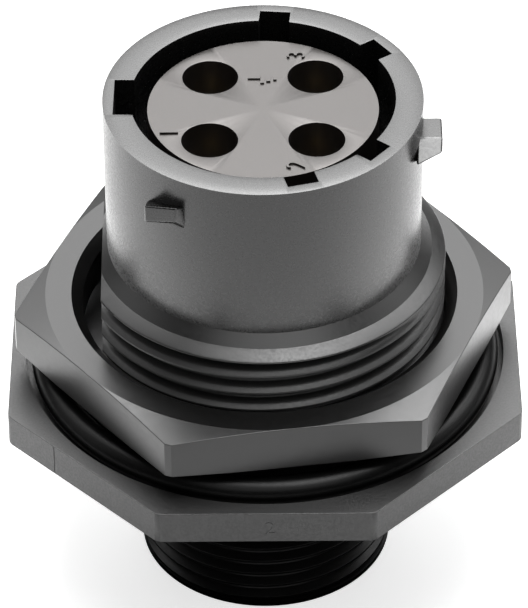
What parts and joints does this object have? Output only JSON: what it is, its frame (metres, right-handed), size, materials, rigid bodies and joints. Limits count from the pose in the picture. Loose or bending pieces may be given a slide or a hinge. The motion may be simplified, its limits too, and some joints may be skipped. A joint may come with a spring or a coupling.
{
  "type": "circular connector receptacle",
  "caption": "Panel-mount circular connector receptacle: keyed round barrel with bayonet lugs, hex jam nut, sealing ring, octagonal flange, threaded rear and socket contacts in a hard insert.",
  "frame": {"origin": "centre of the rear end face, where the receptacle stands when upright", "axes": "+Z along the connector axis, up through the mating face; -Y is the front shown by the picture; the flat on the panel thread faces -X"},
  "size_m": [0.0312, 0.0312, 0.0336],
  "materials": {
    "shell_plastic": "smooth satin black, fine grain on the flange and shoulder",
    "nut_plastic": "smooth satin black",
    "insert_plastic": "satin, warm near-black",
    "seal_rubber": "smooth black",
    "grommet_rubber": "matt dark grey",
    "contact_metal": "gold-plated",
    "hood_steel": "bright",
    "clip_metal": "bright",
    "ring_steel": "satin"
  },
  "bodies": {
    "receptacle": {"shell": "shell_plastic", "panel_o_ring": "seal_rubber", "insert": "insert_plastic", "clip_plate": "insert_plastic", "insert_gasket": "seal_rubber", "retaining_ring": "ring_steel", "wire_grommet": "grommet_rubber", "contact_1": "contact_metal", "contact_2": "contact_metal", "contact_3": "contact_metal", "contact_earth": "contact_metal", "hood_1": "hood_steel", "hood_2": "hood_steel", "hood_3": "hood_steel", "hood_earth": "hood_steel", "clip_1": "clip_metal", "clip_2": "clip_metal", "clip_3": "clip_metal", "clip_earth": "clip_metal"},
    "nut": {"jam_nut": "nut_plastic"}
  },
  "joints": [
    {"name": "nut_turn", "type": "hinge", "parent": "receptacle", "child": "nut", "pos_m": [0, 0, 0.01766], "axis": [0, 0, 1], "continuous": true}
  ]
}
